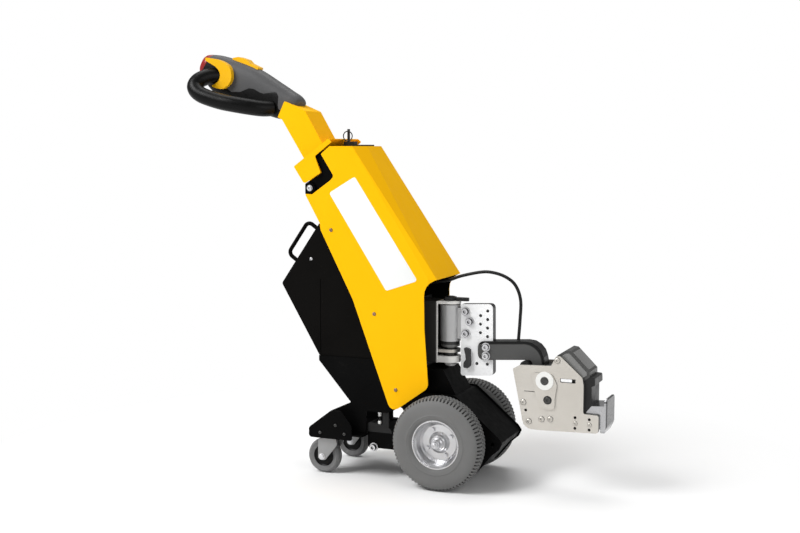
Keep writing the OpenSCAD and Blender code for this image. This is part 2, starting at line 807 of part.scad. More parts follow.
// Drive wheels: a tyre skin whose shoulders step in and out, cut to seat on the rim
rim_half = wheel_w / 2 - 8;
function tyre_half(deep) =
  [[rim_r - 2, rim_half], [rim_r + 8, wheel_w / 2 - 2], [rim_r + 26, wheel_w / 2],
   [wheel_r - 17, wheel_w / 2 - 3], [wheel_r - 4 - deep, wheel_w / 2 - 9 - deep / 2], [wheel_r, wheel_w / 2 - 22]];
function tyre_ring(deep, a) =
  let (h = tyre_half(deep),
       p = concat(h, [for (k = [5 : -1 : 0]) [h[k][0], -h[k][1]]]))
  [for (q = p) [q[0] * cos(a), q[1], q[0] * sin(a)]];
module tyre(side)
  color([0.42, 0.42, 0.42])
    translate([0, side * track / 2, wheel_r])
      difference() {
        skin([for (i = [0 : 2 * lugs - 1]) tyre_ring(i % 2 == 0 ? 0 : lug_h, -180 * i / lugs - 90)], true);
        rotate([90, 0, 0]) cylinder(h = 2 * wheel_w, r = rim_r, center = true);
      }

dish_y = -6;
dish_t = 4;
hub_in = 26;
module rim(side)
  color([0.75, 0.75, 0.76])
    translate([0, side * track / 2, wheel_r])
      mirror([0, side > 0 ? 0 : 1, 0])
        turned()
          polygon([[axle_r + fit, -hub_in], [hub_r, -hub_in], [hub_r, dish_y - dish_t], [rim_r - 8, dish_y - dish_t],
            [rim_r - 4, -rim_half], [rim_r, -rim_half], [rim_r, rim_half], [rim_r - 3, rim_half],
            [rim_r - 6, rim_half - 6], [rim_r - 9, rim_half - 10], [rim_r - 13, dish_y + 6], [rim_r - 19, dish_y],
            [hub_r + 8, dish_y], [hub_r + 2, dish_y + 6], [hub_r, hub_out - 3], [hub_r - 3, hub_out],
            [axle_r + fit, hub_out]]);

// Castors: a swivelling fork and a tyred wheel
fork_gap = castor_w / 2 + 5.5;
fork_t = 3;
fork_top = castor_r * 2 + 5.5;
fork_cap = 3.5;
castor_axle_r = 5;
castor_hub_r = 31;
fork_leg = outline([[-castor_trail - 12, castor_r - 10, 9], [-castor_trail + 10, castor_r - 10, 9],
  [21, 2 * castor_r - 12, 12], [17, fork_top, 0], [-15, fork_top, 0], [-castor_trail - 12, fork_top - 5, 6]]);
module fork(side)
  color([0.72, 0.72, 0.74])
    translate([-castor_back, side * castor_track / 2, 0]) {
      translate([0, 0, fork_top]) cylinder(h = fork_cap, r = fork_gap + fork_t);
      translate([0, 0, fork_top + fork_cap])
        cylinder(h = cradle_z + cradle_t - fork_top - fork_cap, r = stem_r);
      pair(fork_gap, fork_t) polygon(fork_leg);
      rod([-castor_trail, castor_r], -fork_gap - fork_t - 3, fork_gap + fork_t + 3, castor_axle_r);
    }

module castor_tyre(side)
  color([0.45, 0.45, 0.45])
    translate([-castor_back - castor_trail, side * castor_track / 2, castor_r])
      turned()
        polygon([[castor_hub_r, 3 - castor_w / 2], [castor_r - 7, -castor_w / 2], [castor_r - 2, 4 - castor_w / 2],
          [castor_r, 10 - castor_w / 2], [castor_r, castor_w / 2 - 10], [castor_r - 2, castor_w / 2 - 4],
          [castor_r - 7, castor_w / 2], [castor_hub_r, castor_w / 2 - 3]]);

boss_out = castor_w / 2 + 2;
web_in = castor_w / 2 - 6;
module castor_hub(side)
  color([0.12, 0.12, 0.12])
    translate([-castor_back - castor_trail, side * castor_track / 2, castor_r])
      turned()
        polygon([[castor_axle_r + fit, -boss_out], [11, -boss_out], [13, -web_in], [castor_hub_r - 4, -web_in],
          [castor_hub_r, 3 - castor_w / 2], [castor_hub_r, castor_w / 2 - 3], [castor_hub_r - 4, web_in],
          [13, web_in], [11, boss_out], [castor_axle_r + fit, boss_out]]);

// Everything stands with the drive axle ahead of the middle
module place()
  translate([axle_x, 0, 0]) children();

place() chassis_plates();
place() chassis_pan();
place() drive_unit();
place() motor_case();
place() axle();
place() mast();
place() front_panel();
place() hitch_bracket();
place() king_pin();
place() lock_lever();
place() body_cover();
place() lower_tub();
place() battery_pack();
place() battery_handle();
place() castor_cradle();
place() castor_heads();
place() latch_plate();
place() pull_pin();
place() fold_pin();
place() slot_plates();
place() cable();
place() neck();
place() shoulder();
place() head_base();
place() head_cover();
place() thumb_wings();
place() end_button();
place() rocker();
place() swivel_hub();
place() adjuster_plate();
place() hitch_arm();
place() coupling_plates();
place() coupling_core();
place() coupling_cams();
place() coupling_roller();
place() coupling_jaw();
place() actuator_cover();
place() coupling_latch();
place() swivel_hook();
place() tyre(1);  // tyre_left
place() tyre(-1);  // tyre_right
place() rim(1);  // rim_left
place() rim(-1);  // rim_right
place() fork(1);  // fork_left
place() fork(-1);  // fork_right
place() castor_tyre(1);  // castor_tyre_left
place() castor_tyre(-1);  // castor_tyre_right
place() castor_hub(1);  // castor_hub_left
place() castor_hub(-1);  // castor_hub_right
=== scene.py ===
import math
import bpy
import numpy as np
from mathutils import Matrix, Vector


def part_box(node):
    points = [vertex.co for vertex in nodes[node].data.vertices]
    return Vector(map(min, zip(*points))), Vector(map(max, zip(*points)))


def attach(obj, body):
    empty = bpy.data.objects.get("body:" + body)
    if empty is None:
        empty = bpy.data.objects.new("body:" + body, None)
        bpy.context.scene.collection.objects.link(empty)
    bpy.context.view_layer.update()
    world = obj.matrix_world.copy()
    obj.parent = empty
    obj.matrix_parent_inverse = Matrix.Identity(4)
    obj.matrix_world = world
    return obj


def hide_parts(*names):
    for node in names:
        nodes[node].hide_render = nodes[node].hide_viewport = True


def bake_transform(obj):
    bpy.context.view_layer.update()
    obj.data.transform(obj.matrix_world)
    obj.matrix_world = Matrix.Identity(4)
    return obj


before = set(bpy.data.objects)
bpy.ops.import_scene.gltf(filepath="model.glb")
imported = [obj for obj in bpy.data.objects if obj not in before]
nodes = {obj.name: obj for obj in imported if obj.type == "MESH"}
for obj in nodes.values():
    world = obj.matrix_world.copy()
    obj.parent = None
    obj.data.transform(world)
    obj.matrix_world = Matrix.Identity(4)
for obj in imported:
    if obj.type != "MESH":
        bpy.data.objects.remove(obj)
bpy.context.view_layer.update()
millimetre = 0.001
axleX = (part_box("axle")[0][0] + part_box("axle")[1][0]) / 2
axleHeight = 0.130
print("frame loaded, axle at", round(axleX, 4))


# places in the part are given in millimetres from the drive axle, as in the source
def place(points):
    return np.asarray(points, float) * millimetre + np.array([axleX, 0.0, 0.0])


# half the width of a node, in millimetres
def halfOf(node):
    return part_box(node)[1][1] / millimetre


def middleOf(node):
    low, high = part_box(node)
    return (np.array(low) + np.array(high)) / 2


# camera and light

def linked(name, data):
    item = bpy.data.objects.new(name, data)
    bpy.context.scene.collection.objects.link(item)
    return item


def aim(item, direction):
    item.rotation_euler = Vector(direction).to_track_quat("-Z", "Y").to_euler()


cameraSetup = {
    "eye": (1174.4, -3148.0, 941.6),
    "forward": (-0.3917, 0.9147, -0.1000),
    "lens": 54.0,
    "sensor": 36.0,
    "reach": 100.0,
}
cameraData = bpy.data.cameras.new("photoCamera")
cameraData.lens = cameraSetup["lens"]
cameraData.sensor_width = cameraSetup["sensor"]
cameraData.clip_end = cameraSetup["reach"]
camera = linked("photoCamera", cameraData)
camera.location = place(cameraSetup["eye"])
aim(camera, cameraSetup["forward"])
bpy.context.scene.camera = camera
bpy.context.scene.view_settings.view_transform = "Standard"

lightTarget = Vector((0, 0, 0.4))
lights = {
    "key": {"at": (-3.2, -3.3, 4.7), "size": 3.0, "power": 355},
    "fill": {"at": (3.4, -1.8, 2.2), "size": 2.4, "power": 33},
    "top": {"at": (-0.6, 1.2, 4.0), "size": 3.0, "power": 72},
}
for name, light in lights.items():
    lamp = bpy.data.lights.new(name, "AREA")
    lamp.size = light["size"]
    lamp.energy = light["power"]
    lampObject = linked(name, lamp)
    lampObject.location = light["at"]
    aim(lampObject, lightTarget - Vector(light["at"]))


def addNode(tree, kind, operation=None):
    node = tree.nodes.new("ShaderNode" + kind)
    if operation:
        node.operation = operation
    return node


# studio: soft white light on the part, plain white paper where the view goes past the floor
studio = {"light": 0.32, "paper": 1.0}
world = bpy.data.worlds.new("studio")
world.use_nodes = True
worldTree = world.node_tree
soft = worldTree.nodes["Background"]
paper = addNode(worldTree, "Background")
for background, strength in ((soft, studio["light"]), (paper, studio["paper"])):
    background.inputs["Color"].default_value = (1, 1, 1, 1)
    background.inputs["Strength"].default_value = strength
seen = addNode(worldTree, "LightPath")
either = addNode(worldTree, "MixShader")
worldTree.links.new(seen.outputs["Is Camera Ray"], either.inputs["Fac"])
worldTree.links.new(soft.outputs["Background"], either.inputs[1])
worldTree.links.new(paper.outputs["Background"], either.inputs[2])
worldTree.links.new(either.outputs["Shader"], worldTree.nodes["World Output"].inputs["Surface"])
bpy.context.scene.world = world
print("camera and light set")


# materials: each reads Object coordinates, so a pattern stays on its piece

patterns = {
    "broadScale": 6.0, "broadDetail": 5.0, "broadBand": (0.35, 0.65), "fineDetail": 3.0,
    "scuffDetail": 8.0, "scuffRise": 0.08, "edgeShadeBand": (0.6, 0.8), "insideShadeBand": (-0.002, 0.0),
    "partingOrGrooveShadeBand": (-0.25, 0.25), "glossScale": 0.08, "glossDetail": 5.0, "glossBand": (0.3, 0.7),
    "bumpDistance": 0.0006,
}
even = (1, 1, 1)


def noise(tree, coords, scale, detail, stretch=even):
    mapping = addNode(tree, "Mapping")
    mapping.inputs["Scale"].default_value = stretch
    tree.links.new(coords.outputs["Object"], mapping.inputs["Vector"])
    texture = addNode(tree, "TexNoise")
    texture.inputs["Scale"].default_value = scale
    texture.inputs["Detail"].default_value = detail
    tree.links.new(mapping.outputs["Vector"], texture.inputs["Vector"])
    return texture.outputs["Fac"]


# a value carried evenly from a band of numbers to another, held at both ends
def ramp(tree, value, band, outLow, outHigh):
    mapRange = addNode(tree, "MapRange")
    tree.links.new(value, mapRange.inputs["Value"])
    sockets = ("From Min", "From Max", "To Min", "To Max")
    for socket, number in zip(sockets, (*band, outLow, outHigh)):
        mapRange.inputs[socket].default_value = number
    return mapRange.outputs["Result"]


def mixColour(tree, factor, first, second):
    mix = addNode(tree, "Mix")
    mix.data_type = "RGBA"
    tree.links.new(factor, mix.inputs["Factor"])
    for socket, colour in ((mix.inputs["A"], first), (mix.inputs["B"], second)):
        if isinstance(colour, tuple):
            socket.default_value = (*colour, 1)
        else:
            tree.links.new(colour, socket)
    return mix.outputs["Result"]


def axisPart(tree, vector, axis):
    parts = addNode(tree, "SeparateXYZ")
    tree.links.new(vector, parts.inputs["Vector"])
    return parts.outputs[axis]


def offsetFrom(tree, coords, centre):
    offset = addNode(tree, "VectorMath", "SUBTRACT")
    tree.links.new(coords.outputs["Object"], offset.inputs[0])
    offset.inputs[1].default_value = place(centre).tolist()
    return offset.outputs["Vector"]


# how far a point lies past two planes through a place: the length of its two outward distances,
# none below zero
def cornerReach(tree, coords, cornerShade):
    offset = offsetFrom(tree, coords, cornerShade["centre"])
    both = addNode(tree, "CombineXYZ")
    for socket, normal in zip(("X", "Y"), cornerShade["normals"]):
        past = addNode(tree, "VectorMath", "DOT_PRODUCT")
        tree.links.new(offset, past.inputs[0])
        past.inputs[1].default_value = normal
        least = addNode(tree, "Math", "MAXIMUM")
        tree.links.new(past.outputs["Value"], least.inputs[0])
        least.inputs[1].default_value = 0.0
        tree.links.new(least.outputs["Value"], both.inputs[socket])
    reach = addNode(tree, "VectorMath", "LENGTH")
    tree.links.new(both.outputs["Vector"], reach.inputs[0])
    return reach.outputs["Value"]


# how far a face looks away from a place inside the piece: offset times normal, below zero on inner faces
def outwardness(tree, coords, centre):
    outward = addNode(tree, "VectorMath", "DOT_PRODUCT")
    tree.links.new(offsetFrom(tree, coords, centre), outward.inputs[0])
    tree.links.new(coords.outputs["Normal"], outward.inputs[1])
    return outward.outputs["Value"]


# one finish: broad tone change, uneven gloss, fine relief and sparse scuffs; where asked, another colour
# on faces that don't look sideways (painted shade), past a plane (shade), round a corner (painted shade),
# on inner faces (painted shade) or below the piece's parting mark (split: the head's real two-tone, and
# painted shade in the tyre's tread grooves)
def surfaceFinish(name, base, tone, rough, grain, relief, metallic=0.0, stretch=even, scuff=None,
                  shine=0.5, edgeShade=None, split=None, shade=(), cornerShade=None, insideShade=None):
    material = bpy.data.materials.new(name)
    material.use_nodes = True
    tree = material.node_tree
    shader = tree.nodes["Principled BSDF"]
    coords = addNode(tree, "TexCoord")
    broad = noise(tree, coords, patterns["broadScale"], patterns["broadDetail"])
    colour = mixColour(tree, ramp(tree, broad, patterns["broadBand"], 0, 1), base, tone)
    if scuff:
        marks = noise(tree, coords, scuff["scale"], patterns["scuffDetail"])
        band = (scuff["from"], scuff["from"] + patterns["scuffRise"])
        colour = mixColour(tree, ramp(tree, marks, band, 0, scuff["amount"]), colour, scuff["colour"])
    # painted shade: faces that don't look sideways take the darker edge colour
    if edgeShade:
        sideways = addNode(tree, "Math", "ABSOLUTE")
        tree.links.new(axisPart(tree, coords.outputs["Normal"], "Y"), sideways.inputs[0])
        turned = ramp(tree, sideways.outputs["Value"], patterns["edgeShadeBand"], 1, 0)
        colour = mixColour(tree, turned, colour, edgeShade)
    for step in shade:
        along = axisPart(tree, coords.outputs["Object"], step["axis"])
        colour = mixColour(tree, ramp(tree, along, step["band"], 0, 1), colour, step["colour"])
    # painted shade: a dark band along the arm's top edge and round its outer bend
    if cornerShade:
        past = ramp(tree, cornerReach(tree, coords, cornerShade), cornerShade["band"], 0, 1)
        colour = mixColour(tree, past, colour, cornerShade["colour"])
    # painted shade: faces turned inward take a near-black colour
    if insideShade:
        inner = ramp(tree, outwardness(tree, coords, insideShade["centre"]), patterns["insideShadeBand"], 1, 0)
        colour = mixColour(tree, inner, colour, insideShade["colour"])
    # the second colour here is the head's real two-tone, and painted shade in the tyre's tread grooves
    if split:
        parting = addNode(tree, "Attribute")
        parting.attribute_name = "parting"
        below = ramp(tree, parting.outputs["Fac"], patterns["partingOrGrooveShadeBand"], 1, 0)
        colour = mixColour(tree, below, colour, split)
    tree.links.new(colour, shader.inputs["Base Color"])
    uneven = noise(tree, coords, grain * patterns["glossScale"], patterns["glossDetail"], stretch)
    gloss = ramp(tree, uneven, patterns["glossBand"], *rough)
    tree.links.new(gloss, shader.inputs["Roughness"])
    bump = addNode(tree, "Bump")
    bump.inputs["Strength"].default_value = relief
    bump.inputs["Distance"].default_value = patterns["bumpDistance"]
    tree.links.new(noise(tree, coords, grain, patterns["fineDetail"], stretch), bump.inputs["Height"])
    tree.links.new(bump.outputs["Normal"], shader.inputs["Normal"])
    shader.inputs["Metallic"].default_value = metallic
    shader.inputs["Specular IOR Level"].default_value = shine
    return material


def grey(value):
    return (value, value, value)


def darkScuff(amount):
    return {"scale": 24.0, "from": 0.66, "amount": amount, "colour": grey(0.10)}


brushed = (1, 1, 14)
yellowCoat = dict(base=(0.95, 0.495, 0.004), tone=(0.93, 0.48, 0.003), rough=(0.42, 0.55), grain=650,
                  relief=0.05, shine=0.03)
wheelRubber = dict(base=(0.165, 0.165, 0.163), tone=(0.145, 0.145, 0.143), rough=(0.62, 0.8), grain=420,
                   relief=0.35,
                   scuff={"scale": 18.0, "from": 0.6, "amount": 0.25, "colour": (0.18, 0.175, 0.17)})
# painted shade on the inner faces of the yellow cover
coverInsideShade = {"centre": (-240, 0, 600), "colour": (0.004, 0.004, 0.003)}
# painted shade: a dark band along the arm's top edge and round its outer bend
armEdgeShade = {
    "centre": (212.8, 0, 358.2), "normals": ((-0.066, 0, 0.998), (0.984, 0, 0.179)),
    "band": (0.0405, 0.0435), "colour": grey(0.003),
}
jawShade = [{"axis": "X", "band": (axleX + 0.440, axleX + 0.443), "colour": (0.10, 0.10, 0.103)}]
bracketShade = [{"axis": "X", "band": (axleX - 0.048, axleX - 0.0445), "colour": (0.86, 0.85, 0.82)}]
pinShade = [
    {"axis": "Z", "band": (0.333, 0.334), "colour": grey(0.03)},
    {"axis": "Z", "band": (0.374, 0.3755), "colour": (0.16, 0.16, 0.155)},
    {"axis": "Z", "band": (0.3835, 0.385), "colour": grey(0.03)},
]
# the edge colours below are painted shade on the faces of each piece that don't look sideways
finishSettings = {
    "yellowPowderCoat": yellowCoat,
    "coverPowderCoat": dict(yellowCoat, insideShade=coverInsideShade),
    "blackPowderCoat": dict(base=grey(0.0022), tone=grey(0.0035), rough=(0.34, 0.5), grain=700,
                            relief=0.12, scuff=darkScuff(0.04), shine=0.03),
    # painted sheen and shade: the arm's one black paint is grey on its side faces, near black on its other
    # faces and along its top edge
    "armPaint": dict(base=(0.066, 0.066, 0.065), tone=(0.08, 0.08, 0.079), rough=(0.3, 0.42), grain=600,
                     relief=0.08, shine=0.22, edgeShade=grey(0.003), cornerShade=armEdgeShade),
    "batteryCase": dict(base=(0.0032, 0.0029, 0.0026), tone=(0.0045, 0.0041, 0.0037), rough=(0.36, 0.5),
                        grain=900, relief=0.25, shine=0.03),
    "darkSteel": dict(base=grey(0.008), tone=grey(0.014), rough=(0.32, 0.46), grain=500, relief=0.12,
                      scuff=darkScuff(0.2), shine=0.3),
    "driveCasting": dict(base=(0.03, 0.03, 0.032), tone=grey(0.05), rough=(0.5, 0.7), grain=260,
                         relief=0.5, metallic=0.4),
    "motorPaint": dict(base=grey(0.012), tone=grey(0.018), rough=(0.4, 0.55), grain=350, relief=0.3,
                       shine=0.2),
    "turnedSteel": dict(base=grey(0.46), tone=grey(0.40), rough=(0.30, 0.44), grain=500, relief=0.12,
                        metallic=1.0, stretch=brushed),
    "brightZinc": dict(base=(0.70, 0.70, 0.71), tone=(0.60, 0.60, 0.62), rough=(0.26, 0.4), grain=240,
                       relief=0.1, metallic=0.9, scuff=darkScuff(0.2)),
    "whiteZinc": dict(base=(0.93, 0.935, 0.94), tone=(0.88, 0.885, 0.89), rough=(0.34, 0.46), grain=240,
                      relief=0.08, metallic=0.1, scuff=darkScuff(0.1), edgeShade=grey(0.012)),
    "satinNickel": dict(base=(0.62, 0.59, 0.54), tone=(0.56, 0.53, 0.48), rough=(0.34, 0.46), grain=420,
                        relief=0.1, metallic=0.45, stretch=(1, 1, 10), edgeShade=(0.16, 0.16, 0.15)),
    "polishedChrome": dict(base=(0.66, 0.66, 0.67), tone=(0.58, 0.58, 0.59), rough=(0.24, 0.36),
                           grain=300, relief=0.04, metallic=1.0),
    "jawSteel": dict(base=(0.50, 0.50, 0.51), tone=(0.40, 0.40, 0.41), rough=(0.16, 0.3), grain=300,
                     relief=0.06, metallic=1.0, stretch=(1, 1, 8), shade=jawShade),
    "galvanised": dict(base=grey(0.34), tone=grey(0.25), rough=(0.36, 0.52), grain=160, relief=0.25,
                       metallic=0.6, scuff=darkScuff(0.3)),
    # painted shade: the second colour darkens the tread's notches and diamonds
    "treadRubber": dict(wheelRubber, shine=0.2, split=(0.034, 0.034, 0.033)),
    "greyRubber": dict(wheelRubber, shine=0.3),
    "castorRubber": dict(base=grey(0.17), tone=grey(0.13), rough=(0.55, 0.75), grain=500, relief=0.3,
                         scuff={"scale": 40.0, "from": 0.6, "amount": 0.4, "colour": (0.26, 0.25, 0.24)},
                         shine=0.3),
    "blackGrain": dict(base=grey(0.002), tone=grey(0.003), rough=(0.3, 0.4), grain=1400, relief=0.2,
                       shine=0.14),
    "greyGrain": dict(base=(0.115, 0.115, 0.122), tone=(0.10, 0.10, 0.106), rough=(0.4, 0.55), grain=1400,
                      relief=0.3),
    "splitGrain": dict(base=(0.086, 0.086, 0.088), tone=(0.075, 0.075, 0.077), rough=(0.4, 0.55),
                       grain=1400, relief=0.3, shine=0.16, split=grey(0.002)),
    "darkPlastic": dict(base=(0.045, 0.045, 0.044), tone=(0.055, 0.055, 0.052), rough=(0.25, 0.4),
                        grain=900, relief=0.15),
    "lidGloss": dict(base=(0.17, 0.17, 0.165), tone=(0.21, 0.21, 0.205), rough=(0.16, 0.26), grain=900,
                     relief=0.05, shine=0.6),
    "yellowPlastic": dict(base=(0.88, 0.47, 0.005), tone=(0.83, 0.44, 0.004), rough=(0.25, 0.36),
                          grain=900, relief=0.06, shine=0.25),
    "redPlastic": dict(base=(0.28, 0.006, 0.005), tone=(0.22, 0.005, 0.004), rough=(0.25, 0.36),
                       grain=900, relief=0.06),
    "whitePlastic": dict(base=(0.82, 0.82, 0.80), tone=(0.76, 0.76, 0.73), rough=(0.28, 0.4), grain=700,
                         relief=0.06,
                         scuff={"scale": 30.0, "from": 0.68, "amount": 0.15, "colour": (0.55, 0.52, 0.48)}),
    "cableRubber": dict(base=grey(0.004), tone=grey(0.007), rough=(0.4, 0.52), grain=800, relief=0.2,
                        shine=0.25),
    "labelFilm": dict(base=(0.88, 0.89, 0.88), tone=(0.85, 0.86, 0.85), rough=(0.3, 0.4), grain=400,
                      relief=0.03),
    "satinSteel": dict(base=grey(0.56), tone=grey(0.50), rough=(0.38, 0.5), grain=500, relief=0.12,
                       metallic=0.55, stretch=brushed),
    "pinSteel": dict(base=(0.60, 0.60, 0.59), tone=(0.52, 0.52, 0.51), rough=(0.34, 0.48), grain=500,
                     relief=0.15, metallic=0.4, shade=pinShade),
    "bracketSteel": dict(base=(0.024, 0.023, 0.021), tone=(0.03, 0.029, 0.027), rough=(0.38, 0.5),
                         grain=500, relief=0.12, shine=0.3, stretch=brushed, shade=bracketShade),
    "boltZinc": dict(base=(0.72, 0.72, 0.73), tone=(0.62, 0.62, 0.64), rough=(0.24, 0.36), grain=240,
                     relief=0.1, metallic=0.6, edgeShade=grey(0.03)),
    "screwSteel": dict(base=(0.40, 0.25, 0.16), tone=(0.32, 0.20, 0.13), rough=(0.3, 0.45), grain=500,
                       relief=0.1, metallic=0.5, edgeShade=(0.06, 0.03, 0.02)),
    "blackZinc": dict(base=(0.05, 0.05, 0.048), tone=(0.065, 0.064, 0.06), rough=(0.3, 0.42), grain=500,
                      relief=0.1, metallic=0.2, edgeShade=grey(0.006)),
}
finishes = {name: surfaceFinish(name, **settings) for name, settings in finishSettings.items()}
nodeFinish = {
    "coverPowderCoat": "body_cover",
    "yellowPowderCoat": "neck shoulder",
    "blackPowderCoat": "chassis_plates chassis_pan mast front_panel lower_tub castor_cradle slot_plates",
    "armPaint": "hitch_arm",
    "batteryCase": "battery_pack battery_handle",
    "darkSteel": "lock_lever latch_plate coupling_core coupling_latch pull_pin",
    "driveCasting": "drive_unit swivel_hook",
    "pinSteel": "king_pin",
    "motorPaint": "motor_case",
    "turnedSteel": "axle fold_pin",
    "satinSteel": "swivel_hub",
    "bracketSteel": "hitch_bracket",
    "galvanised": "castor_heads fork_left fork_right",
    "whiteZinc": "adjuster_plate",
    "satinNickel": "coupling_plates coupling_cams",
    "polishedChrome": "rim_left rim_right",
    "jawSteel": "coupling_jaw",
    "greyRubber": "tyre_left tyre_right",
    "castorRubber": "castor_tyre_left castor_tyre_right",
    "blackGrain": "head_base castor_hub_left castor_hub_right",
    "greyGrain": "head_cover",
    "darkPlastic": "actuator_cover",
    "yellowPlastic": "thumb_wings rocker",
    "redPlastic": "end_button",
    "whitePlastic": "coupling_roller",
    "cableRubber": "cable",
}
for finish, names in nodeFinish.items():
    for name in names.split():
        mesh = nodes[name].data
        mesh.materials.clear()
        mesh.materials.append(finishes[finish])
print("materials on", len(nodes), "nodes")


# floor: a wide flat sheet that brightens into the white of the studio away from the part

floorSetup = {"half": 30.0, "height": -0.0005, "fade": (0.55, 1.3)}
half = floorSetup["half"]
floorMesh = bpy.data.meshes.new("floor")
floorCorners = [(-half, -half, 0), (half, -half, 0), (half, half, 0), (-half, half, 0)]
floorMesh.from_pydata(floorCorners, [], [(0, 1, 2, 3)])
floorMaterial = surfaceFinish("paleFloor", grey(0.95), grey(0.94), (0.6, 0.7), 40, 0.0, shine=0.2)
floorTree = floorMaterial.node_tree
floorCoords = addNode(floorTree, "TexCoord")
away = addNode(floorTree, "VectorMath", "LENGTH")
floorTree.links.new(floorCoords.outputs["Object"], away.inputs[0])
glow = addNode(floorTree, "Emission")
fade = addNode(floorTree, "MixShader")
floorTree.links.new(ramp(floorTree, away.outputs["Value"], floorSetup["fade"], 0, 1), fade.inputs["Fac"])
floorTree.links.new(floorTree.nodes["Principled BSDF"].outputs["BSDF"], fade.inputs[1])
floorTree.links.new(glow.outputs["Emission"], fade.inputs[2])
floorTree.links.new(fade.outputs["Shader"], floorTree.nodes["Material Output"].inputs["Surface"])
floorMesh.materials.append(floorMaterial)
floor = linked("floor", floorMesh)
floor.location.z = floorSetup["height"]


# surfaces

creaseAngle = math.radians(35)


# faces of a grid of points, each row a closed ring: quads between neighbours, and n-gons over the end
# rows where the rows don't close
def gridFaces(rows, columns, closeRows):
    u = np.arange(rows if closeRows else rows - 1)[:, None]
    v = np.arange(columns)[None, :]
    u1, v1 = (u + 1) % rows, (v + 1) % columns
    corners = [u * columns + v, u1 * columns + v, u1 * columns + v1, u * columns + v1]
    faces = np.stack(corners, -1).reshape(-1, 4).tolist()
    if not closeRows:
        faces.append(list(range(columns)))
        faces.append(list(range(rows * columns - 1, (rows - 1) * columns - 1, -1)))
    return faces


# six times the signed volume under the quads, to tell which way they face
def facing(points, faces):
    total = 0.0
    quads = np.array([f for f in faces if len(f) == 4])
    for a, b, c in ((0, 1, 2), (0, 2, 3)):
        p, q, r = points[quads[:, a]], points[quads[:, b]], points[quads[:, c]]
        total += np.einsum("ij,ij->i", p, np.cross(q, r)).sum()
    return total


def addPiece(name, grids, finish, body, slot, closeRows=False):
    grids = grids if isinstance(grids, list) else [grids]
    allPoints, allFaces, start = [], [], 0
    for grid in grids:
        rows, columns = grid.shape[:2]
        flat = grid.reshape(-1, 3)
        faces = gridFaces(rows, columns, closeRows)
        if facing(flat - flat.mean(0), faces) < 0:
            faces = [f[::-1] for f in faces]
        allFaces += [[i + start for i in f] for f in faces]
        allPoints.append(flat)
        start += len(flat)
    mesh = bpy.data.meshes.new(name)
    mesh.from_pydata(np.vstack(allPoints).tolist(), [], allFaces)
    mesh.materials.append(finishes[finish])
    mesh.polygons.foreach_set("use_smooth", np.ones(len(mesh.polygons), bool))
    mesh.set_sharp_from_angle(angle=creaseAngle)
    mesh.update()
    piece = linked(name, mesh)
    if body:
        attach(piece, body)
    return piece


# a number on each point of a piece, which its finish reads: below zero takes the second colour; on the head
# it marks the parting line, on the tyres it marks painted shade in the tread's notches and diamonds
def markPartingOrGrooveShade(piece, values):
    mark = piece.data.attributes.new("parting", "FLOAT", "POINT")
    mark.data.foreach_set("value", values.astype(np.float32).ravel())


# smooth curve through points: each stretch is the cubic that leaves and arrives along its neighbours'
# chord
def curveThrough(points, perStretch):
    p = np.asarray(points, float)
    padded = np.vstack([p[:1], p, p[-1:]])
    a, b, c, d = padded[:-3, None], padded[1:-2, None], padded[2:-1, None], padded[3:, None]
    t = (np.arange(perStretch) / perStretch)[None, :, None]
    square = (2 * a - 5 * b + 4 * c - d) * t**2
    cube = (3 * b - a - 3 * c + d) * t**3
    q = 0.5 * (2 * b + (c - a) * t + square + cube)
    return np.vstack([q.reshape(-1, p.shape[1]), p[-1:]])


# round tube: a circle of given radius carried square to a path, which never runs along the spare direction
def tubeAlong(path, radius, sides):
    spare = np.array([0.13, 0.2, 0.97])
    tangent = np.gradient(path, axis=0)
    tangent /= np.linalg.norm(tangent, axis=1, keepdims=True)
    side = np.cross(tangent, spare)
    side /= np.linalg.norm(side, axis=1, keepdims=True)
    other = np.cross(tangent, side)
    angle = np.linspace(0, 2 * np.pi, sides, endpoint=False)[None, :, None]
    ring = np.cos(angle) * side[:, None] + np.sin(angle) * other[:, None]
    return path[:, None] + radius * millimetre * ring


# turned form: profile rows of (radius, height along the axis) swung about the axis from a base point;
# rows marked in isHex follow a hexagon with that radius to its corners
def turnedForm(base, axis, profile, steps, isHex=None):
    spare = np.array([0.31, 0.17, 0.93])
    axis = np.asarray(axis, float) / np.linalg.norm(axis)
    first = np.cross(axis, spare)
    first /= np.linalg.norm(first)
    second = np.cross(axis, first)
    angle = np.linspace(0, 2 * np.pi, steps, endpoint=False)
    profile = np.asarray(profile, float) * millimetre
    hexRadius = np.cos(np.pi / 6) / np.cos((angle % (np.pi / 3)) - np.pi / 6)
    isHex = np.asarray(isHex if isHex is not None else np.zeros(len(profile)), float)[:, None]
    radius = profile[:, :1] * (isHex * hexRadius[None] + (1 - isHex))
    spoke = np.cos(angle)[:, None] * first + np.sin(angle)[:, None] * second
    return np.asarray(base, float) + radius[..., None] * spoke[None] + profile[:, 1, None, None] * axis


# fasteners as shares of radius and height: a socket screw with washer and six-sided recess, a hexagon
# bolt with washer and turned chamfer, and a low dome with a six-sided recess
domeTurn = np.linspace(0, 1, 6) * 1.05
dome = list(zip(np.cos(domeTurn), np.sin(domeTurn) / np.sin(domeTurn[-1])))
fastenerForms = {
    "socket": {"shares": [(1.35, 0), (1.35, 0.2), (1, 0.22), (1, 0.85), (0.9, 1), (0.55, 1), (0.5, 0.5)],
               "isHex": [0, 0, 0, 0, 0, 1, 1], "steps": 36},
    "hexagon": {"shares": [(1.3, 0), (1.3, 0.2), (1.05, 0.22), (1.05, 0.85), (0.88, 1)],
                "isHex": [0, 0, 1, 1, 0], "steps": 48},
    "button": {"shares": dome + [(0.42, 1), (0.4, 0.4)], "isHex": [0] * len(dome) + [1, 1], "steps": 36},
}


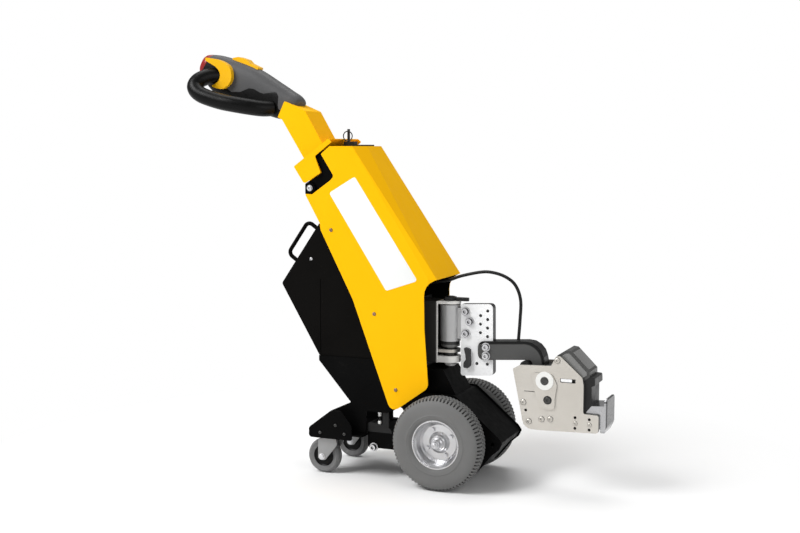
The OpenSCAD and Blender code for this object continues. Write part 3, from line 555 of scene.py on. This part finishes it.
def fastener(kind, base, axis, radius, height):
    form = fastenerForms[kind]
    profile = np.array(form["shares"]) * (radius, height)
    return turnedForm(base, axis, profile, form["steps"], form["isHex"])


# the same fastener on both sides of a node, at spots in X and Z
def bothSides(kind, node, spots, radius, height):
    return [fastener(kind, place((x, side * halfOf(node), z)), (0, side, 0), radius, height)
            for side in (-1, 1) for x, z in spots]


# outline with rounded corners: each corner is an arc of the given radius, points shared out evenly
def roundedOutline(corners, radius):
    cornerSteps = 8
    p = np.asarray(corners, float)
    u = np.roll(p, 1, 0) - p
    v = np.roll(p, -1, 0) - p
    u /= np.linalg.norm(u, axis=1, keepdims=True)
    v /= np.linalg.norm(v, axis=1, keepdims=True)
    halfAngle = np.arccos((u * v).sum(1)) / 2
    bisector = (u + v) / np.linalg.norm(u + v, axis=1, keepdims=True)
    centre = p + bisector * (radius / np.sin(halfAngle))[:, None]
    back = (radius / np.tan(halfAngle))[:, None]
    start, end = p + u * back - centre, p + v * back - centre
    turn = (np.pi - 2 * halfAngle)[:, None]
    t = np.linspace(0, 1, cornerSteps)[None, :]
    fromStart = np.sin(turn * (1 - t))[..., None] * start[:, None]
    fromEnd = np.sin(turn * t)[..., None] * end[:, None]
    arc = (fromStart + fromEnd) / np.sin(turn)[..., None]
    return (centre[:, None] + arc).reshape(-1, 2)


# pad on a flat face: an outline in the face's two directions, carried out along its normal and drawn in
# towards its middle at the rounded edge
def padOn(shape, origin, first, second, normal, height, soft):
    edgeSteps = 5
    middle = shape.mean(0)
    reach = np.linalg.norm(shape - middle, axis=1, keepdims=True)
    turn = np.linspace(0, np.pi / 2, edgeSteps)
    lifts = np.concatenate([[0], height - soft + soft * np.sin(turn)])[:, None, None]
    insets = np.concatenate([[0], soft * (1 - np.cos(turn))])[:, None, None]
    flat = shape[None] - insets * ((shape - middle) / reach)[None]
    first, second, normal = [np.asarray(v, float) for v in (first, second, normal)]
    spread = flat[..., :1] * first + flat[..., 1:] * second
    return place(np.asarray(origin, float) + spread + lifts * normal)


# pad on a side face: its outline in X and Z, its foot at a distance from the middle plane
def sidePad(shape, foot, height, side, soft):
    return padOn(shape, (0, side * foot, 0), (1, 0, 0), (0, 0, 1), (0, side, 0), height, soft)


# cable from the mast over to the arm, the same route as its solid

cable = {
    "radius": 4.5, "sides": 20, "perStretch": 8, "bendFrom": (-60, 0, 560), "bendTo": (150, 0, 560),
    "route": [(-112, 0, 517), (-108, 0, 534), (-97.5, 0, 547), (-82, 0, 554.5), (-50, 0, 560),
              (-20, 0, 566), (13, 0, 578), (69, 0, 591), (104, 0, 592), (142, 0, 582), (172, 0, 560),
              (188, 0, 519), (187, 0, 463), (183, 0, 407.8)],
}
cablePath = place(curveThrough(cable["route"], cable["perStretch"]))
cableTube = tubeAlong(cablePath, cable["radius"], cable["sides"])
cablePiece = addPiece("feedCable", cableTube, "cableRubber", None, "cable_rubber")
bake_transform(cablePiece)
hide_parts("cable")


# drive tyres: a moulded section swung round the axle, its shoulders notched by a steep wave, one side
# half a pitch behind the other, and its crown cut in diamonds where two crossing waves are both small

tyre = {
    "steps": 912, "halfWidth": 36.0, "perStretch": 4,
    "section": [(68, 28), (74, 33), (80, 35), (83, 35.8), (86, 35), (98, 35.8), (108, 35.4), (116, 33.2),
                (122, 29.5), (126, 25.5), (128.6, 20), (129.7, 12), (130, 6), (130, 0)],
    "lugs": 76, "lugDepth": 5.5, "lugSteep": 5, "lugLevel": 0.45,
    "shoulderRadius": 122, "shoulderRise": 3, "shoulderAcross": 0.42, "shoulderBlend": 0.12,
    "grooveDepth": 2.2, "grooveSlant": 5, "grooveLevel": 0.22, "grooveBlend": 0.08,
    "crownAcross": 0.48, "crownBlend": 0.06, "grooveShadeTop": 0.3, "grooveShadeFall": 0.5,
}


def share(value, run):
    return np.clip(value / run, 0, 1)


sectionHalf = curveThrough(tyre["section"], tyre["perStretch"])
section = np.vstack([sectionHalf, (sectionHalf * (1, -1))[-2::-1]])
turn = np.linspace(0, 2 * np.pi, tyre["steps"], endpoint=False)[:, None]
across = section[None, :, 1] / tyre["halfWidth"]
outward = np.abs(across)
wave = np.sin(turn * tyre["lugs"] + np.pi * 0.5 * np.sign(across))
notch = 0.5 + 0.5 * np.tanh(tyre["lugSteep"] * (wave - tyre["lugLevel"]))
shoulder = share(section[None, :, 0] - tyre["shoulderRadius"], tyre["shoulderRise"]) \
    * share(outward - tyre["shoulderAcross"], tyre["shoulderBlend"])
pitch, slant = turn * tyre["lugs"] / 2, across * tyre["grooveSlant"]
diamond = np.abs(np.sin(pitch + slant)) * np.abs(np.sin(pitch - slant))
crown = share(tyre["crownAcross"] - outward, tyre["crownBlend"]) \
    * share(tyre["grooveLevel"] - diamond, tyre["grooveBlend"])
tyreRadius = section[None, :, 0] - tyre["lugDepth"] * notch * shoulder - tyre["grooveDepth"] * crown
treadDepth = np.maximum(notch * shoulder, crown)
tyreAcross = np.broadcast_to(section[None, :, 1], tyreRadius.shape)
tyreGrid = np.stack([tyreRadius * np.cos(turn), tyreAcross, tyreRadius * np.sin(turn)], -1) * millimetre
for side in ("left", "right"):
    centre = np.array([axleX, middleOf("tyre_" + side)[1], axleHeight])
    piece = addPiece("driveTyre_" + side, tyreGrid + centre, "treadRubber", "wheel_" + side, "grey_tyre",
                     closeRows=True)
    # painted shade: points deep in the notches and diamonds take the tread finish's dark second colour
    markPartingOrGrooveShade(piece, tyre["grooveShadeTop"] - tyre["grooveShadeFall"] * treadDepth)
    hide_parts("tyre_" + side)
print("tyres", tyreGrid.shape)


# tiller head: rounded box sections (u, half width, low, high) lofted along the head, with a groove along
# the parting line

head = {
    "foot": (-529.0, 1047.5), "tilt": 26.0, "power": 0.7, "perStretch": 18, "around": 160,
    "sections": [(-31, 26, 20, 41), (-24, 34, -4, 47), (-10, 38, -26, 52), (12, 39, -36, 54),
                 (62, 40, -46, 59), (141, 41, -62, 65), (226, 41, -64, 57), (272, 40, -51, 49),
                 (299, 37, -37, 40), (311, 33, -29, 34)],
    "parting": [(-60, -10), (14, -6), (20, 4), (30, 28), (40, 35), (48, 33), (78, 14), (90, 12),
                (112, 13), (128, 8), (150, -14), (178, -28), (206, -22), (214, 4), (238, 24), (340, 26)],
    "groove": 0.9, "grooveHalf": 1.3, "grooveOver": 40.0, "slopeStep": 0.5, "markLimit": 5.0,
    "redAt": 298.0, "redEdge": [(-60, 303), (-20, 300), (20, 294), (60, 296)],
}
headCos, headSin = math.cos(math.radians(head["tilt"])), math.sin(math.radians(head["tilt"]))
headTable = curveThrough(head["sections"], head["perStretch"])
headAngle = np.linspace(0, 2 * np.pi, head["around"], endpoint=False)
bulge = [np.sign(f) * np.abs(f) ** head["power"] for f in (np.cos(headAngle), np.sin(headAngle))]


# from the head's own directions, u along it to the rear and v up from it, to the part
def headPlace(u, y, v):
    x = head["foot"][0] - headCos * u + headSin * v
    z = head["foot"][1] + headSin * u + headCos * v
    return place(np.stack([x, y, z], -1))


# half width, low and high edge of the section at u, read from the smooth table of sections
def headSection(u):
    return [np.interp(u, headTable[:, 0], headTable[:, k]) for k in (1, 2, 3)]


def headHeight(u, inset=1.0):
    _, low, high = headSection(u)
    return (low + high) / 2 + (high - low) / 2 * bulge[1] * inset


# rounded box: cosine and sine raised to a power below one, scaled to the section and drawn in by inset
def headSurface(u, inset):
    return headPlace(u, headSection(u)[0] * bulge[0] * inset, headHeight(u, inset))


# inset of a groove that deepens evenly to its line, where nearness is one
def grooved(nearness):
    return 1 - head["groove"] / head["grooveOver"] * np.clip(nearness, 0, 1)


def partingAt(u):
    line = np.array(head["parting"], float)
    return np.interp(u, line[:, 0], line[:, 1])


first, last = headTable[0, 0], headTable[-1, 0]
endAt = np.interp(headHeight(np.full(head["around"], head["redAt"])), *np.array(head["redEdge"], float).T)
along = ((headTable[:, 0] - first) / (last - first))[:, None]
u = first + along * (endAt - first)
slope = (partingAt(u + head["slopeStep"]) - partingAt(u - head["slopeStep"])) / (2 * head["slopeStep"])
parting = (headHeight(u) - partingAt(u)) / np.sqrt(1 + slope**2)
nearLine = np.maximum(1 - np.abs(parting) / head["grooveHalf"], 1 - (endAt - u) / head["grooveHalf"])
shell = headSurface(u, grooved(nearLine))
headPiece = addPiece("headShell", shell, "splitGrain", "tiller", "grey_plastic")
markPartingOrGrooveShade(headPiece, np.clip(parting, -head["markLimit"], head["markLimit"]))
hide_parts("head_cover", "head_base")

# red end: the same sections on to the tip, then a raised button as (share of the tip, lift)
redEnd = {"rows": 10, "button": [(0.95, 0.0), (0.86, 0.0), (0.845, 4.5), (0.82, 5.6), (0.78, 6.0)]}
capU = endAt + np.linspace(0, 1, redEnd["rows"])[:, None] * (last - endAt)
cap = headSurface(capU, grooved(1 - (capU - endAt) / head["grooveHalf"]))
tip = headSurface(np.full(head["around"], last), 1)
tipCentre = tip.mean(0)
rearward = np.array([-headCos, 0, headSin]) * millimetre
button = np.stack([tipCentre + k * (tip - tipCentre) + lift * rearward for k, lift in redEnd["button"]])
endPiece = addPiece("headEnd", np.concatenate([cap, button]), "redPlastic", "tiller", "red_plastic")
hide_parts("end_button")

loop = {
    "radius": 23.5, "sides": 40, "perStretch": 14,
    "route": [(236, 28, -2), (259, 56, -16), (270, 83, -37), (262, 99, -56), (230, 105, -64),
              (171, 102, -56), (124, 95, -44), (82, 79, -32), (54, 57, -23), (38, 34, -14)],
}
loopU, loopY, loopV = curveThrough(loop["route"], loop["perStretch"]).T
for name, sign in (("left", 1), ("right", -1)):
    grip = tubeAlong(headPlace(loopU, sign * loopY, loopV), loop["radius"], loop["sides"])
    addPiece("loopGrip_" + name, grip, "blackGrain", "tiller", "black_plastic")
print("head", shell.shape)


# fasteners on both sides of a node

fasteners = {
    "coverScrews": {"kind": "button", "node": "body_cover", "spots": [(-344, 704), (-210, 471), (-144, 259)],
                    "radius": 5.5, "height": 3.0, "look": ("screwSteel", "chassis", "dark_steel")},
    "batteryScrews": {"kind": "button", "node": "battery_pack", "spots": [(-411, 619)],
                      "radius": 5.0, "height": 3.0, "look": ("brightZinc", "chassis", "zinc")},
    "adjusterBolts": {"kind": "socket", "node": "adjuster_plate", "spots": [(32, 480), (44, 452), (33, 418)],
                      "radius": 9.6, "height": 10.0, "look": ("boltZinc", "hitch", "zinc")},
    "armBolts": {"kind": "socket", "node": "hitch_arm", "spots": [(96, 385), (96, 360)],
                 "radius": 9.2, "height": 8.0, "look": ("boltZinc", "hitch", "zinc")},
    "armScrews": {"kind": "button", "node": "hitch_arm", "spots": [(83, 388), (83, 361)],
                  "radius": 5.0, "height": 2.5, "look": ("blackZinc", "hitch", "dark_steel")},
    "rollerBolts": {"kind": "socket", "node": "coupling_roller", "spots": [(275, 309)],
                    "radius": 8.5, "height": 2.0, "look": ("blackZinc", "hitch", "dark_steel")},
    "camBolts": {"kind": "socket", "node": "coupling_plates", "spots": [(284, 257)],
                 "radius": 8.5, "height": 5.0, "look": ("blackZinc", "hitch", "dark_steel")},
    "cradleScrews": {"kind": "button", "node": "castor_cradle",
                     "spots": [(-368, 123), (-319, 148), (-291, 125)],
                     "radius": 5.0, "height": 3.0, "look": ("blackZinc", "chassis", "dark_steel")},
}
for name, item in fasteners.items():
    heads = bothSides(item["kind"], item["node"], item["spots"], item["radius"], item["height"])
    addPiece(name, heads, *item["look"])

couplingScrews = [
    {"spots": [(215, 246), (231, 194), (267, 203), (291, 205), (309, 367)], "radius": 8.5, "height": 4.0},
    {"spots": [(361, 200), (400, 199)], "radius": 6.0, "height": 3.0},
]
heads = [screw for size in couplingScrews for screw in bothSides("button", "coupling_plates", **size)]
addPiece("couplingScrews", heads, "satinNickel", "hitch", "nickel")

foldScrews = {"radius": 6.5, "height": 3.0}
pinX, _, pinZ = middleOf("fold_pin")
pinEnds = [(-1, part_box("fold_pin")[0][1]), (1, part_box("fold_pin")[1][1])]
heads = [fastener("socket", (pinX, y, pinZ), (0, side, 0), **foldScrews) for side, y in pinEnds]
addPiece("foldScrews", heads, "boltZinc", "chassis", "zinc")
print("fasteners set")


# underside: drain plug on the tongue, cable gland between tub and motor housing

plug = {"x": -216, "z": 86, "radius": 9.5, "height": 12.0}
plugBase = place((plug["x"], -halfOf("chassis_plates"), plug["z"]))
plugHead = fastener("socket", plugBase, (0, -1, 0), plug["radius"], plug["height"])
addPiece("drainPlug", plugHead, "boltZinc", "chassis", "zinc")

gland = {
    "base": (-200, -84, 154), "nutSteps": 32, "leadSteps": 16,
    "lower": [(5, 0), (5, 7), (4, 8.5)], "upper": [(3.5, 22), (4.5, 23), (4.5, 29), (5.5, 30), (5.5, 35)],
    "lead": [(2.6, 8), (2.6, 23)],
}
glandBase = place(gland["base"])
nuts = [turnedForm(glandBase, (0, 0, 1), gland[k], gland["nutSteps"]) for k in ("lower", "upper")]
addPiece("motorGland", nuts, "whitePlastic", "chassis", "white_plastic")
lead = turnedForm(glandBase, (0, 0, 1), gland["lead"], gland["leadSteps"])
addPiece("glandLead", lead, "cableRubber", "chassis", "black_plastic")

# keeper plate round the king pin between hub and bracket foot: a straight back and a half-round front
keeper = {"centre": -18.0, "back": -50.0, "half": 29.0, "low": 362.5, "height": 9.0, "soft": 0.8, "steps": 25}
frontAngle = np.linspace(-np.pi / 2, np.pi / 2, keeper["steps"])
frontArc = keeper["half"] * np.stack([np.cos(frontAngle), np.sin(frontAngle)], 1) + (keeper["centre"], 0)
backEdge = [(keeper["back"], keeper["half"]), (keeper["back"], -keeper["half"])]
keeperPad = padOn(np.vstack([backEdge, frontArc]), (0, 0, keeper["low"]), (1, 0, 0), (0, 1, 0), (0, 0, 1),
                  keeper["height"], keeper["soft"])
addPiece("keeperPlate", keeperPad, "satinNickel", "chassis", "nickel")

# wheel studs on the dish of each rim and nuts on the castor axles
studs = {"circle": 39.0, "count": 4, "start": 0.5, "radius": 6.0, "height": 6.0, "dish": -6.0}
castorNuts = {"radius": 7.5, "height": 5.0, "sunk": 3.0}
studTurn = np.arange(studs["count"]) / studs["count"] * 2 * np.pi + studs["start"]
for side, sign in (("left", 1), ("right", -1)):
    _, rimY, rimZ = middleOf("rim_" + side)
    ring = np.stack([studs["circle"] * np.cos(studTurn), np.full(studs["count"], sign * studs["dish"]),
                     studs["circle"] * np.sin(studTurn)], 1)
    bases = np.array([axleX, rimY, rimZ]) + ring * millimetre
    bolts = [fastener("hexagon", base, (0, sign, 0), studs["radius"], studs["height"]) for base in bases]
    addPiece("wheelStuds_" + side, bolts, "brightZinc", "wheel_" + side, "zinc")
    hubX, _, hubZ = middleOf("castor_hub_" + side)
    forkLow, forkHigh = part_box("fork_" + side)
    sunk = castorNuts["sunk"] * millimetre
    nuts = [fastener("hexagon", (hubX, y, hubZ), (0, d, 0), castorNuts["radius"], castorNuts["height"])
            for y, d in ((forkHigh[1] - sunk, 1), (forkLow[1] + sunk, -1))]
    addPiece("castorNuts_" + side, nuts, "brightZinc", "castor_" + side, "zinc")
print("underside and wheel details set")


# blank label on each side panel: a film laid on the sheet, its corners rounded

label = {"corners": [(-349, 809), (-269, 856), (-78, 570), (-173, 538)], "radius": 7.0, "thick": 0.5,
         "soft": 0.2}
labelShape = roundedOutline(label["corners"], label["radius"])
for name, side in (("left", 1), ("right", -1)):
    film = sidePad(labelShape, halfOf("body_cover"), label["thick"], side, label["soft"])
    addPiece("blankLabel_" + name, film, "labelFilm", "chassis", "white_plastic")
print("labels set")


# coupling: bright bar in the slot of each side plate, a dark slit and dark discs for holes, both painted
# shade, lid panels on the actuator's sides and slope

coreHalf = halfOf("coupling_core")
slotBar = {"corners": [(319, 309.5), (350, 309.5), (350, 318.5), (319, 318.5)], "radius": 2.0, "height": 9.0,
           "soft": 1.0}
barShape = roundedOutline(slotBar["corners"], slotBar["radius"])
bars = [sidePad(barShape, coreHalf, slotBar["height"], side, slotBar["soft"]) for side in (-1, 1)]
addPiece("slotBars", bars, "whiteZinc", "hitch", "zinc")

plateSlitAndHoleShade = {
    "slit": [(217, 276), (251, 276), (251, 277.6), (217, 277.6)], "slitRadius": 0.7, "lift": 0.3, "soft": 0.1,
    "holes": [(360, 215), (360, 186), (399, 213), (399, 185), (222, 224)], "radius": 3.9, "sunk": 0.5,
    "steps": 24,
}
slitShape = roundedOutline(plateSlitAndHoleShade["slit"], plateSlitAndHoleShade["slitRadius"])
holeTurn = np.linspace(0, 2 * np.pi, plateSlitAndHoleShade["steps"], endpoint=False)
holeRing = plateSlitAndHoleShade["radius"] * np.stack([np.cos(holeTurn), np.sin(holeTurn)], 1)
marks = [sidePad(slitShape, halfOf("coupling_plates"), plateSlitAndHoleShade["lift"], side, plateSlitAndHoleShade["soft"])
         for side in (-1, 1)]
# painted shade: dark discs stand in for the plate holes
holeFoot = coreHalf + plateSlitAndHoleShade["sunk"]
marks += [sidePad(holeRing + hole, holeFoot, plateSlitAndHoleShade["lift"], side, plateSlitAndHoleShade["soft"])
          for side in (-1, 1) for hole in plateSlitAndHoleShade["holes"]]
addPiece("plateSlitAndHoleShade", marks, "cableRubber", "hitch", "dark_steel")

lid = {
    "corners": [(318, 378), (331, 387), (341, 386), (388, 338), (388, 330), (366, 316)], "radius": 3.0,
    "height": 1.2, "soft": 0.8, "slopeFrom": (343, 393), "slopeTo": (396, 340), "slopeMargin": 7.0,
    "slopeRadius": 4.0,
}
lidShape = roundedOutline(lid["corners"], lid["radius"])
lids = [sidePad(lidShape, coreHalf, lid["height"], side, lid["soft"]) for side in (-1, 1)]
run = np.array(lid["slopeTo"], float) - np.array(lid["slopeFrom"], float)
runLength = float(np.linalg.norm(run))
runX, runZ = run / runLength
near, far = lid["slopeMargin"], runLength - lid["slopeMargin"]
lidHalf = halfOf("actuator_cover") - lid["slopeMargin"]
slopeShape = roundedOutline([(near, -lidHalf), (far, -lidHalf), (far, lidHalf), (near, lidHalf)],
                            lid["slopeRadius"])
slopeFoot = (lid["slopeFrom"][0], 0, lid["slopeFrom"][1])
lids.append(padOn(slopeShape, slopeFoot, (runX, 0, runZ), (0, 1, 0), (-runZ, 0, runX), lid["height"],
                  lid["soft"]))
addPiece("actuatorLids", lids, "lidGloss", "hitch", "grey_plastic")

# cap over each axle nut: a low dome with a smaller nut and the stud's end
hubCap = {
    "dome": [(17, 0.6), (17, 3), (15, 5), (13, 7), (12.5, 17), (11.5, 18)],
    "nut": [(10.5, 18), (10.5, 23), (9.5, 24)], "stud": [(6, 24), (6, 26), (4, 27), (3, 25)],
    "sunk": 6.0, "steps": 48,
}
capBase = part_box("axle")[1][1] - hubCap["sunk"] * millimetre
capProfile = hubCap["dome"] + hubCap["nut"] + hubCap["stud"]
capHex = [0] * len(hubCap["dome"]) + [1] * len(hubCap["nut"]) + [0] * len(hubCap["stud"])
caps = [turnedForm((axleX, side * capBase, axleHeight), (0, side, 0), capProfile, hubCap["steps"], capHex)
        for side in (-1, 1)]
addPiece("hubCaps", caps, "brightZinc", "chassis", "zinc")
print("coupling and hub details set")
